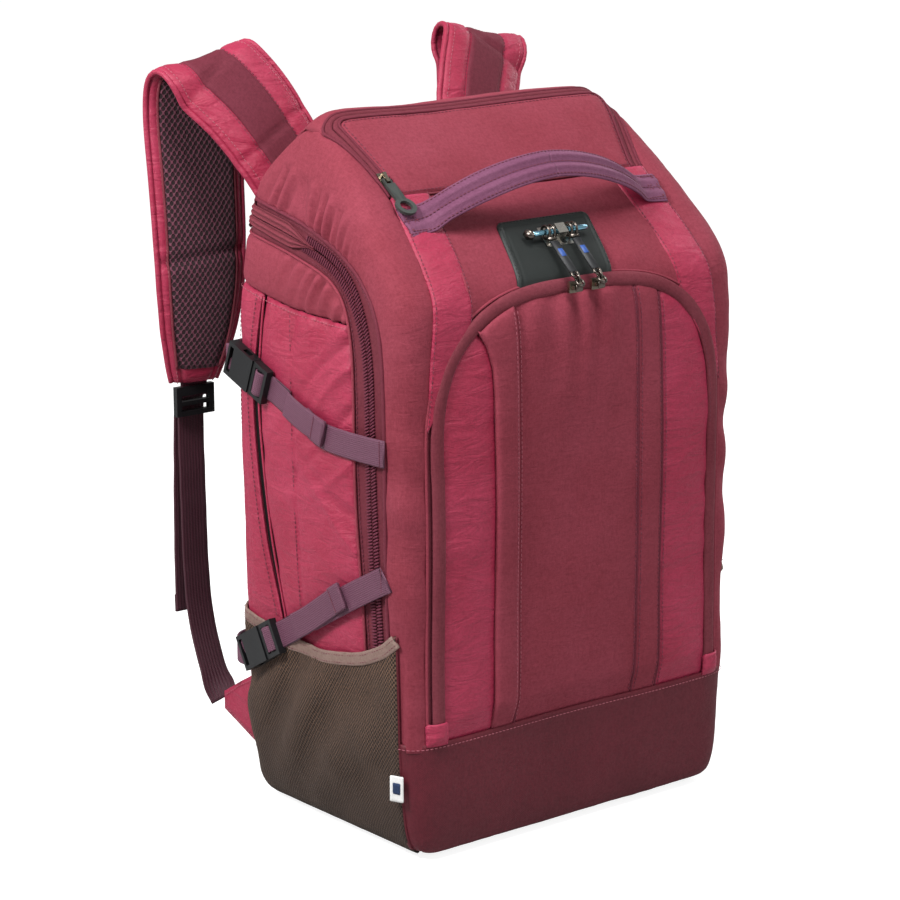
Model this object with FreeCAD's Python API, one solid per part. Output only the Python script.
"""Clamshell travel backpack: sewn panels, webbing, zips and buckles, about 546 x 336 x 213 mm.

Frame: millimetres, +Z up, origin at the middle of the flat base. The front face looks along -Y,
and the back panel, which lies against the wearer, looks along +Y. +X is to the right when the
bag is seen from the front, and "left" and "right" in the names are meant that way.
"""
import FreeCAD
import Part
import math
import os

Vector = FreeCAD.Vector
os.makedirs("parts", exist_ok=True)

# ---------------------------------------------------------------- driving dimensions
BODY_HEIGHT = 546.5          # base to ridge
FRONT_Y = -108.0             # front face of the shell
BACK_Y = 105.0               # outer face of the back panel
HALF_WIDTH = 168.0           # widest half width of the shell
FRONT_CORNER, BACK_CORNER = 40.0, 20.0  # corner radii seen from above
WALL = 3.5                   # shell thickness
BOOT_TOP = 89.5              # top of the base boot
LID_BOTTOM = 90.5
BEYOND = 220.0               # reach of cutting shapes, well clear of the body
ON_BACK_Y = BACK_Y + 0.4     # where parts lying on the back panel start
SLOPE_FOOT = (FRONT_Y, 422.0)   # where the roof slope leaves the front face (y, z)
SLOPE_DIR = (0.72093, 0.69300)  # unit direction up the slope (y, z)
HIP_X = 124.8                # seam between the centre panels and the hips
FLAP_UP = (99.0, 170.0)      # top flap opening along the slope
SHOULDER_WEB = 25.0          # lower shoulder webbing width

# Side view of the body (y, z)
SIDE_PROFILE = [
    (-102, 0), (-107, 30), (FRONT_Y, 70), (FRONT_Y, 408), (-106.2, 418), (-101.5, 428.25),
    (16, 541.2), (24, 546), (36, BODY_HEIGHT), (47, 542.5), (BACK_Y, 487), (BACK_Y, 20), (97, 0),
]
# Right half of the front view (x, z)
FRONT_OUTLINE = [
    (148, 0), (155, 18), (162, 90), (166.6, 220), (HALF_WIDTH, 330),
    (166, 410), (160, 462), (146, 515), (133, 548),
]
# Edge of the rear tub along the main zip, and of the lid across the zip (y, z)
TUB_EDGE = [
    (-54, LID_BOTTOM), (-53, 190), (-47.5, 273), (-46.5, 345), (-43.5, 388),
    (-33.5, 415.5), (-12, 432.5), (32, 444), (80, 452), (118, 456),
]
LID_EDGE = [
    (-82.5, LID_BOTTOM), (-82.5, 204), (-82.5, 280), (-81.5, 357), (-76, 403),
    (-57, 431), (-24, 452.5), (24, 468), (80, 477.5), (118, 481),
]


# ---------------------------------------------------------------- general shapes
def inset(points, depth):
    """Moves every edge of a convex polygon inwards. The polygon may run either way round."""
    following = points[1:] + points[:1]
    area = sum(p[0] * q[1] - q[0] * p[1] for p, q in zip(points, following))
    turn = 1.0 if area > 0 else -1.0
    lines = []
    for (u0, v0), (u1, v1) in zip(points, following):
        length = math.hypot(u1 - u0, v1 - v0)
        normal_u = -(v1 - v0) / length * turn
        normal_v = (u1 - u0) / length * turn
        lines.append((normal_u, normal_v, normal_u * u0 + normal_v * v0 + depth))
    corners = []
    for i, (u1, v1, reach1) in enumerate(lines):
        u0, v0, reach0 = lines[i - 1]
        det = u0 * v1 - u1 * v0
        corners.append(((reach0 * v1 - reach1 * v0) / det, (u0 * reach1 - u1 * reach0) / det))
    return corners


def prism(points, plane, start, end):
    """Extrudes a polygon: plane 'yz' along X, 'xz' along Y, 'xy' along Z."""
    length = end - start
    if plane == "yz":
        corners = [Vector(start, u, v) for u, v in points]
        sweep = Vector(length, 0, 0)
    elif plane == "xz":
        corners = [Vector(u, start, v) for u, v in points]
        sweep = Vector(0, length, 0)
    else:
        corners = [Vector(u, v, start) for u, v in points]
        sweep = Vector(0, 0, length)
    return Part.Face(Part.makePolygon(corners + [corners[0]])).extrude(sweep)


def box(x0, x1, y0, y1, z0, z1):
    return Part.makeBox(x1 - x0, y1 - y0, z1 - z0, Vector(x0, y0, z0))


def region(x0=-BEYOND, x1=BEYOND, y0=-BEYOND, y1=BEYOND, z0=-5, z1=640):
    """Cutting box that holds the whole body except where a limit is given."""
    return box(x0, x1, y0, y1, z0, z1)


def x_cylinder(x, y, z, radius, length):
    """Cylinder along X, centred on (x, y, z)."""
    return Part.makeCylinder(radius, length, Vector(x - length / 2, y, z), Vector(1, 0, 0))


def mirror(shape):
    return shape.mirror(Vector(0, 0, 0), Vector(1, 0, 0))


def mirror_outline(points):
    """Closes a right-hand half outline with its mirror image."""
    return points + [(-u, v) for u, v in reversed(points)]


def largest(shape):
    return max(shape.Solids, key=lambda solid: solid.Volume)


def slope(up, out=0.0):
    """Point (y, z) on the roof: up the slope from its foot, and out of it."""
    return (SLOPE_FOOT[0] + up * SLOPE_DIR[0] - out * SLOPE_DIR[1],
            SLOPE_FOOT[1] + up * SLOPE_DIR[1] + out * SLOPE_DIR[0])


def on_slope(x0, x1, up0, up1, out0, out1):
    """Block aligned with the roof slope."""
    corners = [slope(up0, out0), slope(up1, out0), slope(up1, out1), slope(up0, out1)]
    return prism(corners, "yz", x0, x1)


def arch(half, top, power=3.0, spring=300.0, foot=LID_BOTTOM):
    """Outline (x, z) with straight sides and, above the spring, a superelliptic top."""
    points = [(half, foot), (half, spring)]
    for i in range(1, 16):
        angle = math.pi / 2 * i / 16
        points.append((half * math.cos(angle) ** (2 / power),
                       spring + (top - spring) * math.sin(angle) ** (2 / power)))
    return points + [(0, top)] + [(-x, z) for x, z in reversed(points)]


def band(path, width):
    """Closed outline of a flat band along a path of (u, v) points, mitred at the bends."""
    units = []
    for (u0, v0), (u1, v1) in zip(path, path[1:]):
        length = math.hypot(u1 - u0, v1 - v0)
        units.append(((u1 - u0) / length, (v1 - v0) / length))
    left, right = [], []
    for i, (u, v) in enumerate(path):
        before = units[max(i - 1, 0)]
        after = units[min(i, len(units) - 1)]
        normal_u, normal_v = -(before[1] + after[1]), before[0] + after[0]
        length = math.hypot(normal_u, normal_v)
        normal_u, normal_v = normal_u / length, normal_v / length
        mitre = width / 2 / max(0.3, -normal_u * before[1] + normal_v * before[0])
        left.append((u + normal_u * mitre, v + normal_v * mitre))
        right.append((u - normal_u * mitre, v - normal_v * mitre))
    return left + right[::-1]


def ribbon(stations, thickness):
    """Flat-faced solid through rectangles, each (centre, unit across, unit normal, width)."""
    rows = []
    for centre, across, normal, width in stations:
        side, rise = across * (width / 2), normal * (thickness / 2)
        rows.append([centre + side + rise, centre - side + rise,
                     centre - side - rise, centre + side - rise])
    faces = [Part.Face(Part.makePolygon(row + [row[0]])) for row in (rows[0], rows[-1])]
    for row, after in zip(rows[:-1], rows[1:]):
        for i in range(4):
            k = (i + 1) % 4
            faces.append(Part.Face(Part.makePolygon([row[i], row[k], after[k], row[i]])))
            faces.append(Part.Face(Part.makePolygon([row[i], after[k], after[i], row[i]])))
    solid = Part.makeSolid(Part.makeShell(faces))
    if solid.Volume < 0:  # the shell came out facing inwards
        solid.reverse()
    return solid


def save(name, *shapes):
    """Writes all the solids of the shapes as one STEP file."""
    solids = [solid for shape in shapes for solid in shape.Solids]
    assert solids, name
    for solid in solids:
        assert solid.isValid() and solid.Volume > 0, name
    shape = solids[0] if len(solids) == 1 else Part.makeCompound(solids)
    shape.exportStep("parts/%s.step" % name)


def save_pair(name, *shapes):
    """Writes left-hand shapes and their mirror images."""
    save(name + "_left", *shapes)
    save(name + "_right", *[mirror(shape) for shape in shapes])


# ---------------------------------------------------------------- outer form
def rounded_plan():
    """Body seen from above (x, y), with faceted corners."""
    points = []
    for x, y, radius, first in (
            (HALF_WIDTH - FRONT_CORNER, FRONT_Y + FRONT_CORNER, FRONT_CORNER, -90),
            (HALF_WIDTH - BACK_CORNER, BACK_Y - BACK_CORNER, BACK_CORNER, 0)):
        for i in range(6):
            angle = math.radians(first + 18 * i)
            points.append((x + radius * math.cos(angle), y + radius * math.sin(angle)))
    return mirror_outline(points)


def body(depth):
    """The outer form of the bag with every face moved inwards, or outwards if negative."""
    side = prism(inset(SIDE_PROFILE, depth), "yz", -200, 200)
    front = prism(inset(mirror_outline(FRONT_OUTLINE), depth), "xz", -200, 200)
    plan = prism(inset(rounded_plan(), depth), "xy", -20, 600)
    return side.common(front).common(plan)


# ---------------------------------------------------------------- shell panels
shell = body(0.0).cut(body(WALL))

# Boot: the floor and a front wall that wraps round the front corners
boot_floor = shell.common(region(z1=6.0))
boot_wall = shell.common(region(y1=-54.4, z1=BOOT_TOP))
save("base_boot", boot_floor.fuse(boot_wall).removeSplitter())

# Tub: everything behind the main zip
tub_region = prism(TUB_EDGE + [(118, -20), (-54, -20)], "yz", -BEYOND, BEYOND)
tub = shell.common(tub_region).common(region(z0=6.4))
save("back_panel", tub.common(region(x0=-138, x1=138, y0=60)))
save_pair("side_panel", tub.common(region(x1=-138.4)))

# Lid: everything in front of and above the zip, open behind the front pocket
lid_region = prism(LID_EDGE + [(140, 481.5), (140, 640), (-140, 640), (-140, LID_BOTTOM)],
                   "yz", -BEYOND, BEYOND)
pocket_hole = prism(arch(145.4, 427.4, foot=LID_BOTTOM - 1), "xz", -130, -92)
lid = shell.common(lid_region).cut(pocket_hole)
save_pair("lid_hip", lid.common(region(x1=-HIP_X - 0.2)))
lid_centre = lid.common(region(x0=-HIP_X + 0.2, x1=HIP_X - 0.2))
below_flap = on_slope(-200, 200, -60, FLAP_UP[0] - 0.5, -60, 60)
save("lid_slope_panel", lid_centre.common(below_flap))
up_to_flap_zip = on_slope(-200, 200, -80, FLAP_UP[1] + 7.5, -140, 60)
save("lid_rear_panel", lid_centre.cut(up_to_flap_zip).common(region(y0=-30, z0=430)))
save("lid_divider",
     prism(arch(154.0, 434.0, power=4.0, spring=330, foot=93.0), "xz", -84.0, -82.0))

# ---------------------------------------------------------------- main zip, as its two halves
zip_sheet = body(0.6).cut(body(2.8))


def zip_line(share):
    """Line between the tub edge (share 0) and the lid edge (share 1)."""
    return [(tub_y * (1 - share) + lid_y * share, tub_z * (1 - share) + lid_z * share)
            for (tub_y, tub_z), (lid_y, lid_z) in zip(TUB_EDGE, LID_EDGE)]


def zip_half(share0, share1):
    strip = prism(zip_line(share0) + zip_line(share1)[::-1], "yz", -BEYOND, BEYOND)
    return zip_sheet.common(strip.common(region(z0=97.0)))


save("main_zip_tub_side", zip_half(0.035, 0.48))
save("main_zip_lid_side", zip_half(0.52, 0.965))

# ---------------------------------------------------------------- tag on the left front corner
TAG_ANGLE = 46.0                     # from -X towards -Y
TAG_RADIUS = FRONT_CORNER + 0.7      # inner face of the tag
TAG_Z = 62

tag = box(-5.5, 5.5, -0.8, 0, -11, 11)
tag.rotate(Vector(0, 0, 0), Vector(0, 0, 1), TAG_ANGLE - 90)
tag.translate(Vector(
    -(HALF_WIDTH - FRONT_CORNER) - TAG_RADIUS * math.cos(math.radians(TAG_ANGLE)),
    FRONT_Y + FRONT_CORNER - TAG_RADIUS * math.sin(math.radians(TAG_ANGLE)),
    TAG_Z))
save("side_tag", tag)

# ---------------------------------------------------------------- back panel parts
save("frame_sheet", box(-122, 122, BACK_Y - WALL - 2.0, BACK_Y - WALL - 0.5, 26, 440))
sleeve_wall = box(-124, 124, 76, 79, 12, 300)
sleeve_floor = box(-124, 124, 79, 97, 12, 14)
save("laptop_sleeve", sleeve_wall.fuse(sleeve_floor).removeSplitter())


def back_pad(x0, x1, z0, z1, height, corner):
    """Block on the back panel with its four corners cut off."""
    outline = [(x0 + corner, z0), (x1 - corner, z0), (x1, z0 + corner), (x1, z1 - corner),
               (x1 - corner, z1), (x0 + corner, z1), (x0, z1 - corner), (x0, z0 + corner)]
    return prism(outline, "xz", ON_BACK_Y, BACK_Y + height)


save("back_pads", *[back_pad(x0, x1, z0, z1, 9.0, 12)
                    for z0, z1 in ((118, 252), (262, 398))
                    for x0, x1 in ((-132, -14), (14, 132))])
save("lumbar_pad", back_pad(-126, 126, 26, 108, 11.0, 14))
save("strap_yoke", back_pad(-128, 128, 404, 430, 2.6, 5))

# ---------------------------------------------------------------- side mesh pockets
# Outline of the pocket, and of its hollow, which is open at the top (y, z)
MESH_EDGE = [(-76, 3), (-76, 171), (-68, 163), (-51, 156), (5, 147), (50, 149),
             (99, 157), (99, 30), (88, 3)]
MESH_HOLLOW = [(-73, 7), (-73, 200), (96, 200), (96, 32), (86, 7)]
MESH_TOP = MESH_EDGE[1:7]

mesh = body(-3.4).cut(body(-0.4)).common(prism(MESH_EDGE, "yz", -220, -120))
mesh = mesh.cut(body(-2.2).common(prism(MESH_HOLLOW, "yz", -220, -130)))
save_pair("mesh_pocket", largest(mesh))

# Binding: a strip outside the mesh, following its top edge
binding_outline = [(y, z - 1.5) for y, z in MESH_TOP] + [(y, z - 11) for y, z in MESH_TOP[::-1]]
binding = largest(body(-4.6).cut(body(-3.6)).common(prism(binding_outline, "yz", -220, -120)))
save("mesh_pocket_bindings", binding, mirror(binding))

# ---------------------------------------------------------------- front pocket
CENTRE_PANEL = [(-85, 94.5), (-85, 408), (-60, 413.5), (0, 417), (60, 413.5), (83, 408),
                (83, 94.5)]  # (x, z)
POCKET_SLIDER_X = 11.0


def front_layer(outline, near, far):
    """Flat layer (x, z) between two distances in front of the front face."""
    return prism(outline, "xz", FRONT_Y - far, FRONT_Y - near)


def arch_strip(outer_half, outer_top, inner_half, inner_top):
    """One half of the pocket zip, between two arches."""
    strip = front_layer(arch(outer_half, outer_top, foot=108), 1.8, 3.4)
    return strip.cut(front_layer(arch(inner_half, inner_top, foot=103), 0.8, 4.4))


save("pocket_flap", front_layer(arch(131.0, 419.0, foot=93.0), 1.6, 4.6))
save("pocket_centre_panel", front_layer(CENTRE_PANEL, 4.8, 7.2))
slider_notch = box(-19, 19, -120, -100, 410, 430)
save("pocket_zip_flap_side", arch_strip(138.0, 423.1, 131.4, 419.4).cut(slider_notch))
save("pocket_zip_lid_side", arch_strip(144.9, 427.0, 138.4, 423.5))

# Blocks at the lower ends of the pocket zip
garage = box(-144.6, -131.8, FRONT_Y - 3.8, FRONT_Y - 0.4, 94, 107.6)
save("pocket_zip_garages", garage, mirror(garage))


def pocket_slider(x):
    """Slider plate with a holed bridge, facing -Y and turned to run along X."""
    plate = box(-4.2, 4.2, -2.4, 0, -6, 6)
    bridge = box(-1.4, 1.4, -5.4, -2.4, -4.4, 4.4).cut(box(-2, 2, -4.2, -2.4, -2.6, 2.6))
    slider = plate.fuse(bridge).removeSplitter()
    slider.rotate(Vector(0, 0, 0), Vector(0, 1, 0), 90)
    slider.translate(Vector(x, FRONT_Y - 3.8, 423.6))
    return slider


save("pocket_sliders", pocket_slider(-POCKET_SLIDER_X), pocket_slider(POCKET_SLIDER_X))

# ---------------------------------------------------------------- lock on the roof slope
BOLT_RADIUS, BOLT_LENGTH = 2.4, 54.0
LOCK_UP = 45.0                        # bolt axis along the slope
LOCK_Y, LOCK_Z = slope(LOCK_UP, 10.2)

save("lock_patch", on_slope(-46, 46, 6.5, 64, 0.4, 2.2))

saddle_plate = on_slope(-13, 13, LOCK_UP - 9, LOCK_UP + 9, 2.5, 4.2)
ear = on_slope(-4.6, 4.6, LOCK_UP - 4.4, LOCK_UP + 4.4, 4.2, 14.0)
bolt_hole = x_cylinder(0, LOCK_Y, LOCK_Z, BOLT_RADIUS + 0.08, 40)
save("lock_saddle", saddle_plate.fuse(ear).removeSplitter().cut(bolt_hole))

bolt = x_cylinder(0, LOCK_Y, LOCK_Z, BOLT_RADIUS, BOLT_LENGTH)
bolt_end = on_slope(-33, -26, LOCK_UP - 3.5, LOCK_UP + 3.5, 7.0, 13.4)
save("lock_bolt", bolt.fuse(bolt_end).removeSplitter())


def pocket_pull(x):
    """Pull tab from the slider at the pocket's top edge up to an eye round the lock bolt."""
    bend_y, bend_z = -118.4, 428.5
    half_thick = 0.9
    length = math.hypot(LOCK_Y - bend_y, LOCK_Z - bend_z)
    unit_y, unit_z = (LOCK_Y - bend_y) / length, (LOCK_Z - bend_z) / length

    def before_bolt(back, side=0.0):
        return (LOCK_Y - unit_y * back - unit_z * side, LOCK_Z - unit_z * back + unit_y * side)

    def at_bolt(radius, width):
        return x_cylinder(x, LOCK_Y, LOCK_Z, radius, width)

    path = [(bend_y, 421.5), (bend_y, bend_z), before_bolt(4.0)]
    bar = prism(band(path, 2 * half_thick), "yz", x - 3.6, x + 3.6)
    eye = at_bolt(5.2, 3.0).cut(at_bolt(3.6, 5.0))
    neck = prism([before_bolt(8.4, -half_thick), before_bolt(8.4, half_thick),
                  before_bolt(4.2, half_thick), before_bolt(4.2, -half_thick)],
                 "yz", x - 1.5, x + 1.5)
    bar = bar.cut(at_bolt(6.2, 20))
    return bar.fuse(neck.cut(at_bolt(3.9, 20))).fuse(eye).removeSplitter()


save("pocket_pull_left", pocket_pull(-POCKET_SLIDER_X))
save("pocket_pull_right", pocket_pull(POCKET_SLIDER_X))

# ---------------------------------------------------------------- top flap, its zip and pocket
save("top_flap", on_slope(-116.3, 116.3, FLAP_UP[0] + 0.5, FLAP_UP[1], -3.5, 0.0))

# The zip runs round the sides and the upper edge of the flap
top_zip = on_slope(-124.2, 124.2, FLAP_UP[0] + 2, FLAP_UP[1] + 6.8, -2.6, -0.6)
top_zip = top_zip.cut(on_slope(-118.5, 118.5, FLAP_UP[0] - 5, FLAP_UP[1] + 0.6, -8, 8))
save("top_zip", top_zip.common(body(0.5)))

# Liner: a tapering tray below the flap, open at the top
liner_outer = prism([slope(110, -4.4), slope(168, -4.4), slope(158, -54), slope(120, -54)],
                    "yz", -112, 112)
liner_inner = prism([slope(111.6, -3.0), slope(166.4, -3.0), slope(156.8, -52.4),
                     slope(121.2, -52.4)], "yz", -110.4, 110.4)
save("top_pocket_liner", liner_outer.cut(liner_inner))

# ---------------------------------------------------------------- top slider and its pull
TOP_SLIDER_X, TOP_SLIDER_UP = -121.3, 116.0
PIN_UP, PIN_OUT = TOP_SLIDER_UP - 1.2, 4.3   # pin of the pull, through the slider's bridge
PULL_TILT = 8.0                              # degrees the pull is lifted off the roof


def top_slider_block(half_x, half_up, out0, out1):
    return on_slope(TOP_SLIDER_X - half_x, TOP_SLIDER_X + half_x,
                    TOP_SLIDER_UP - half_up, TOP_SLIDER_UP + half_up, out0, out1)


top_bridge = top_slider_block(1.4, 4.4, 3.0, 6.6).cut(top_slider_block(2, 2.4, 3.0, 5.2))
save("top_slider", top_slider_block(4.2, 6, 0.6, 3.0).fuse(top_bridge).removeSplitter())


def pull_block(x0, x1, down0, down1, half_thick):
    """Block of the pull before tilting: x from the slider's middle, down from the pin."""
    return on_slope(TOP_SLIDER_X + x0, TOP_SLIDER_X + x1, PIN_UP - down1, PIN_UP - down0,
                    PIN_OUT - half_thick, PIN_OUT + half_thick)


def top_pull():
    """Pull hanging down the slope: pin, two arms, tab and a flat ring."""
    pin_y, pin_z = slope(PIN_UP, PIN_OUT)
    roof_normal = Vector(0, -SLOPE_DIR[1], SLOPE_DIR[0])
    ring_at = Vector(TOP_SLIDER_X, *slope(PIN_UP - 29.0, PIN_OUT - 1.1))
    below_ring = ring_at - roof_normal * 2

    tab = pull_block(-4.4, 4.4, 5, 23, 1.1)
    for x0, x1 in ((-3.6, -2.0), (2.0, 3.6)):
        tab = tab.fuse(pull_block(x0, x1, -0.75, 6.0, 0.85))
    tab = tab.fuse(x_cylinder(TOP_SLIDER_X, pin_y, pin_z, 0.78, 6.4))
    tab = tab.cut(Part.makeCylinder(8.2, 8, below_ring, roof_normal))
    ring = Part.makeCylinder(8.4, 2.2, ring_at, roof_normal)
    ring = ring.cut(Part.makeCylinder(4.9, 8, below_ring, roof_normal))
    pull = tab.fuse(ring).removeSplitter()
    pull.rotate(Vector(0, pin_y, pin_z), Vector(1, 0, 0), -PULL_TILT)
    return pull


save("top_pull", top_pull())

# ---------------------------------------------------------------- carry handle
HANDLE_UP = 80.5           # ends of the handle along the slope
HANDLE_HALF = 103.5
HANDLE_STEP = 0.01         # half step used to find the tangent

end_tab = on_slope(-126.5, -105.5, HANDLE_UP - 14, HANDLE_UP + 14, 0.6, 4.4)
save("handle_end_tabs", end_tab, mirror(end_tab))


def handle_lift(share):
    """Height of the arched handle over the roof; share runs from -1 to 1 across it."""
    return 3.2 + 34.0 * max(0.0, 1 - share * share) ** 0.9


def handle_station(share):
    ahead = min(1, share + HANDLE_STEP)
    behind = max(-1, share - HANDLE_STEP)
    rise = (handle_lift(ahead) - handle_lift(behind)) / ((ahead - behind) * HANDLE_HALF)
    tangent = Vector(1, -SLOPE_DIR[1] * rise, SLOPE_DIR[0] * rise)
    tangent.normalize()
    across = Vector(0, *SLOPE_DIR)
    normal = tangent.cross(across)
    normal.normalize()
    y, z = slope(HANDLE_UP + 6.0 * (1 - share * share), handle_lift(share) + 2.6)
    width = 8.0 + 18.0 * (1 - abs(share) ** 3)
    return Vector(HANDLE_HALF * share, y, z), across, normal, width


save("handle_band", ribbon([handle_station(-1 + 2 * i / 20) for i in range(21)], 5.0))

# ---------------------------------------------------------------- main zip sliders on the back
MAIN_SLIDER_Z = 477.5
MAIN_SLIDER_X = 9


def back_block(x, half_x, out0, out1, z0, z1):
    """Block behind the back panel: z is measured from the middle of the slider."""
    return box(x - half_x, x + half_x, ON_BACK_Y + out0, ON_BACK_Y + out1,
               MAIN_SLIDER_Z + z0, MAIN_SLIDER_Z + z1)


def main_slider(x):
    plate = back_block(x, 7, 0, 3.0, -5.5, 5.5)
    bridge = back_block(x, 5, 3.0, 6.8, -1.6, 1.6).cut(back_block(x, 3, 3.0, 5.4, -3, 3))
    return plate.fuse(bridge).removeSplitter()


def main_pull(x):
    """Hanging tab with a loop round the slider's bridge."""
    def at_bridge(radius, width):
        return x_cylinder(x, ON_BACK_Y + 6.1, MAIN_SLIDER_Z, radius, width)

    tab = back_block(x, 4.5, 5.1, 7.1, -27, -2.4)
    loop = at_bridge(3.0, 4.4).cut(at_bridge(2.0, 8))
    return tab.cut(at_bridge(2.4, 20)).fuse(loop).removeSplitter()


for side_name, slider_x in (("left", -MAIN_SLIDER_X), ("right", MAIN_SLIDER_X)):
    save("main_slider_" + side_name, main_slider(slider_x))
    save("main_pull_" + side_name, main_pull(slider_x))

# ---------------------------------------------------------------- compression straps, buckles
# All are built on the left side. A buckle is placed by the front end of its plug (y, z) and
# its angle in the y-z plane.
WEB = 20.0                            # compression webbing width
UNDER_X = (-171.3, -169.8)            # layer of the strap next to the body
TAIL_X = (-173.4, -171.9)             # layer of the folded-back tail
BUCKLE_WIDTH, BUCKLE_THICK = 28.0, 8.2
BUCKLE_X0 = -178.4                    # outer face of the buckle
BUCKLE_X1 = BUCKLE_X0 + BUCKLE_THICK
BUCKLE_TRAVEL = 22.0                  # length of the webbing loop in front of the plug
UPPER = ((52, 341.5), math.atan2(30, 79))
LOWER = ((44, 148.5), math.atan2(-55, 97))


def buckle_point(buckle, along, across=0.0):
    (y, z), angle = buckle
    cosine, sine = math.cos(angle), math.sin(angle)
    return (y + cosine * along - sine * across, z + sine * along + cosine * across)


def buckle_block(buckle, along0, along1, across0, across1, x0, x1):
    corners = ((along0, across0), (along1, across0), (along1, across1), (along0, across1))
    return prism([buckle_point(buckle, *corner) for corner in corners], "yz", x0, x1)


def lid_strap(buckle, sewn, bend, tail_end):
    """Strap from its front seam over a bend towards the plug, with its tail folded back."""
    tail_start = buckle_point(buckle, -BUCKLE_TRAVEL - 2.0)
    tail_slope = (tail_start[1] - tail_end[1]) / (tail_start[0] - tail_end[0])

    def tail_piece(length_y, x0, x1):
        far = (tail_end[0] + length_y, tail_end[1] + length_y * tail_slope)
        return prism(band([tail_end, far], WEB), "yz", x0, x1)

    under_path = [sewn, bend, buckle_point(buckle, -BUCKLE_TRAVEL - 24.5)]
    under = prism(band(under_path, WEB), "yz", *UNDER_X)
    tail = prism(band([tail_end, tail_start], WEB), "yz", *TAIL_X)
    hem = tail_piece(8, TAIL_X[0] - 1.6, TAIL_X[0] - 0.1)
    join = tail_piece(4, UNDER_X[0] - 0.7, UNDER_X[0] + 0.1)
    # the seam block fills the gap down to the body
    seam = box(UNDER_X[1] - 0.2, -160.0, sewn[0] - 1.5, sewn[0] + 1.3,
               sewn[1] - WEB / 2, sewn[1] + WEB / 2).cut(body(-0.15))
    return under.fuse(tail).fuse(hem).fuse(join).fuse(largest(seam)).removeSplitter()


def plug(buckle):
    """Male half: a ladder end with two slots, then three prongs."""
    shape = buckle_block(buckle, 0, 18, -BUCKLE_WIDTH / 2, BUCKLE_WIDTH / 2,
                         BUCKLE_X0 + 1.0, BUCKLE_X1 - 1.0)
    for slot0, slot1 in ((3.2, 7.6), (10.4, 14.6)):
        shape = shape.cut(buckle_block(buckle, slot0, slot1, -10.6, 10.6,
                                       BUCKLE_X0 - 1, BUCKLE_X1 + 1))
    for across0, across1 in ((-11.6, -8.2), (-1.4, 1.4), (8.2, 11.6)):
        shape = shape.fuse(buckle_block(buckle, 17.0, 38.0, across0, across1,
                                        BUCKLE_X0 + 2.6, BUCKLE_X1 - 2.6))
    return shape.removeSplitter()


def plug_loop(buckle):
    """Webbing just in front of the plug."""
    return buckle_block(buckle, -BUCKLE_TRAVEL - 1.4, -0.4, -WEB / 2, WEB / 2, *UNDER_X)


def socket(buckle):
    """Female half: a sleeve with side windows and a rear bar."""
    shape = buckle_block(buckle, 18.5, 50, -BUCKLE_WIDTH / 2, BUCKLE_WIDTH / 2,
                         BUCKLE_X0, BUCKLE_X1)
    # cavity, then the two windows
    for along0, along1, across0, across1 in (
            (18.0, 40.5, -12.4, 12.4), (26.0, 35.0, -20, -12.0), (26.0, 35.0, 12.0, 20)):
        shape = shape.cut(buckle_block(buckle, along0, along1, across0, across1,
                                       BUCKLE_X0 + 2.0, BUCKLE_X1 - 2.0))
    slot = buckle_block(buckle, 43.0, 47.4, -10.6, 10.6, BUCKLE_X0 - 1, BUCKLE_X1 + 1)
    return shape.cut(slot).removeSplitter()


def anchor(buckle):
    """Webbing from the socket round the rear corner onto the back panel."""
    y, z = buckle_point(buckle, 50.8)
    bend_y = max(y + 1.0, 98.0)
    outline = [(-175.2, y), (-173.6, y), (-173.6, bend_y), (-162.5, BACK_Y + 4.6),
               (-139, BACK_Y + 4.6), (-139, BACK_Y + 6.2), (-163.2, BACK_Y + 6.2),
               (-175.2, bend_y + 0.6)]  # (x, y)
    keep_out = buckle_block(buckle, -5, 50.4, -22, 22, -182, -166)
    return largest(prism(outline, "xy", z - WEB / 2, z + WEB / 2).cut(keep_out))


save_pair("compression_straps",
          lid_strap(UPPER, sewn=(-82, 315), bend=(-17, 316), tail_end=(-17.5, 318.5)),
          lid_strap(LOWER, sewn=(-82, 219), bend=(-40, 196), tail_end=(-38, 199)))
anchors = [anchor(UPPER), anchor(LOWER)]
save("compression_anchors", *anchors, *[mirror(shape) for shape in anchors])
save_pair("buckle_sockets", socket(UPPER), socket(LOWER))
save_pair("buckle_plug_upper", plug(UPPER), plug_loop(UPPER))
save_pair("buckle_plug_lower", plug(LOWER), plug_loop(LOWER))

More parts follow.
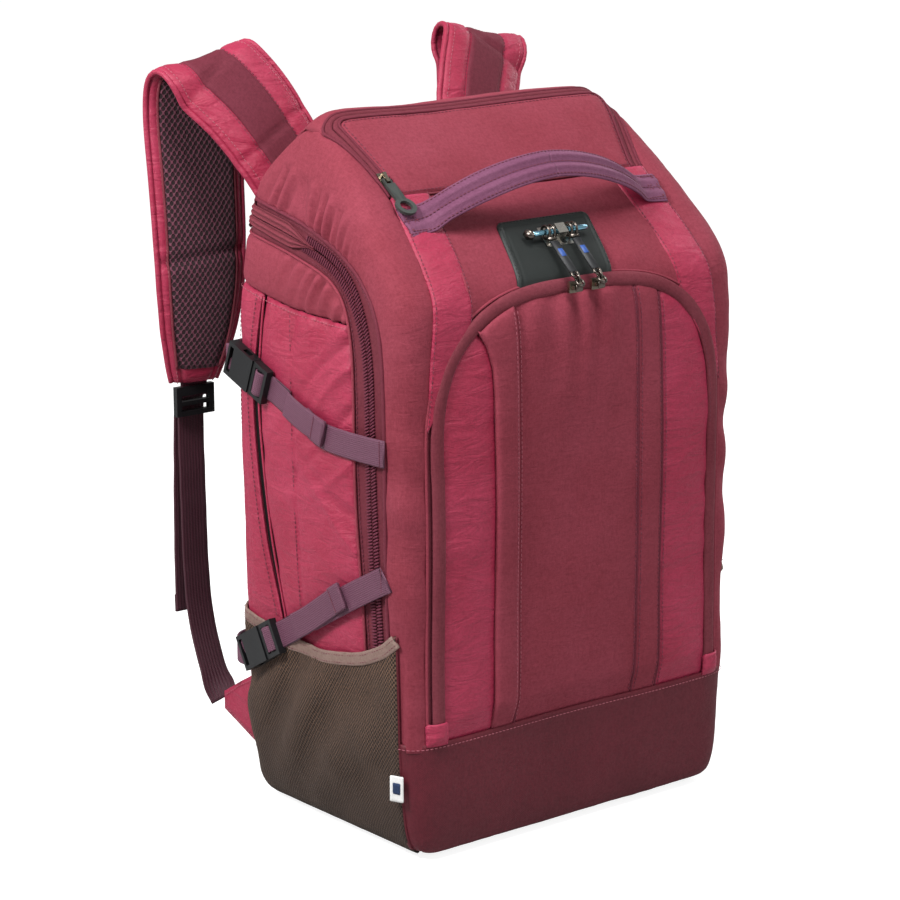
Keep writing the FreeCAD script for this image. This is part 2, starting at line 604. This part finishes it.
# ---------------------------------------------------------------- shoulder straps
# Left pad from the yoke, over the top and down: centre, direction across, width
SHOULDER_PAD = [
    ((-80, 114.5, 433), (1, 0, 0), 70),
    ((-84, 120, 462), (1, 0, 0), 72),
    ((-97, 136, 503), (0.995, -0.02, 0.10), 76),
    ((-116, 156, 544), (0.98, -0.05, 0.20), 80),
    ((-132, 171, 569), (0.965, -0.09, 0.24), 82),
    ((-138.5, 181, 579), (0.965, -0.10, 0.24), 82),
    ((-141, 191, 577), (0.965, -0.11, 0.22), 82),
    ((-142, 196, 564), (0.97, -0.12, 0.14), 81),
    ((-142, 195, 534), (0.985, -0.12, 0.02), 80),
    ((-142, 189, 485), (0.985, -0.12, -0.06), 78),
    ((-142.5, 184, 435), (0.985, -0.12, -0.08), 76),
    ((-143, 183, 395), (0.985, -0.12, -0.08), 72),
    ((-144, 186, 360), (0.985, -0.12, -0.08), 62),
    ((-145, 190, 335), (0.985, -0.12, -0.08), 48),
    ((-145, 193, 320), (0.985, -0.12, -0.08), 38),
]
# Centres of the left lower webbing and of its loose tail (x, y, z)
LOWER_WEB = [(-145, 198.5, 290), (-145, 197.5, 220), (-146, 193, 150),
             (-147, 183, 112), (-149, 167, 84), (-150, 154.5, 68)]
LOWER_TAIL = [(-145, 204, 290), (-146, 206, 210), (-148, 203, 130)]


def strap_ribbon(rows, thickness):
    """Ribbon through rows of (centre, rough direction across, width)."""
    centres = [Vector(*row[0]) for row in rows]
    stations = []
    for i, (_, direction, width) in enumerate(rows):
        tangent = centres[min(len(rows) - 1, i + 1)] - centres[max(0, i - 1)]
        tangent.normalize()
        across = Vector(*direction)
        across = across - tangent * across.dot(tangent)
        across.normalize()
        normal = across.cross(tangent)
        normal.normalize()
        stations.append((centres[i], across, normal, width))
    return ribbon(stations, thickness)


def lower_webbing(centres):
    return strap_ribbon([(centre, (1, 0, 0), SHOULDER_WEB) for centre in centres], 1.6)


def ladder_lock():
    """Plate with two slots at the lower end of the pad."""
    plate = box(-163, -127, 190.5, 195.5, 292, 316)
    for z0, z1 in ((296, 300.5), (304, 308.5)):
        plate = plate.cut(box(-158.2, -131.8, 189, 197, z0, z1))
    return plate


save_pair("shoulder_pad", strap_ribbon(SHOULDER_PAD, 12.0))
save_pair("ladder_lock", ladder_lock())
save_pair("lower_webbing", lower_webbing(LOWER_WEB), lower_webbing(LOWER_TAIL))

# Wing: upright tapering tab behind the back panel, near the foot of the webbing
WING = [(ON_BACK_Y, 40), (ON_BACK_Y, 97), (BACK_Y + 46, 70), (BACK_Y + 46, 58)]  # (y, z)
save_pair("strap_wing", prism(WING, "yz", -151, -149))
